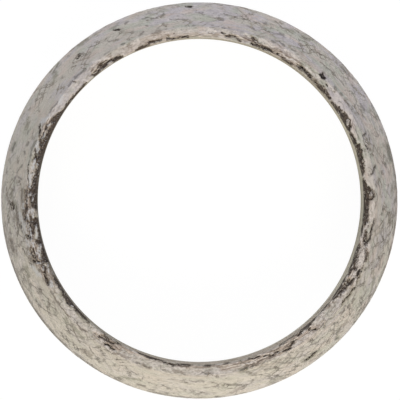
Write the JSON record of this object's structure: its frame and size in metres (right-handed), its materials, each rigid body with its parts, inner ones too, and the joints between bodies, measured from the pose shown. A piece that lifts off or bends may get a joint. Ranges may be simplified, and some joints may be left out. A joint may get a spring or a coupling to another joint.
{
  "type": "exhaust ring gasket",
  "caption": "Pressed ring gasket of knitted wire and filler, with a plain bore, a wide flat back and a ball seat that tapers to a narrow flat nose, to seal a flared exhaust joint.",
  "frame": {"origin": "centre of the wide back face, on the bore's axis", "axes": "+Z along the bore's axis, from the wide back face up to the narrow nose; +X and +Y are the right and the top of the picture, which looks down on the nose"},
  "size_m": [0.0666, 0.0666, 0.0143],
  "materials": {
    "pressed_mesh": "knitted stainless wire pressed flush into pale mica and graphite filler, satin, with dark graphite in the broken places"
  },
  "bodies": {
    "root": {"gasket_ring": "pressed_mesh"}
  },
  "joints": []
}
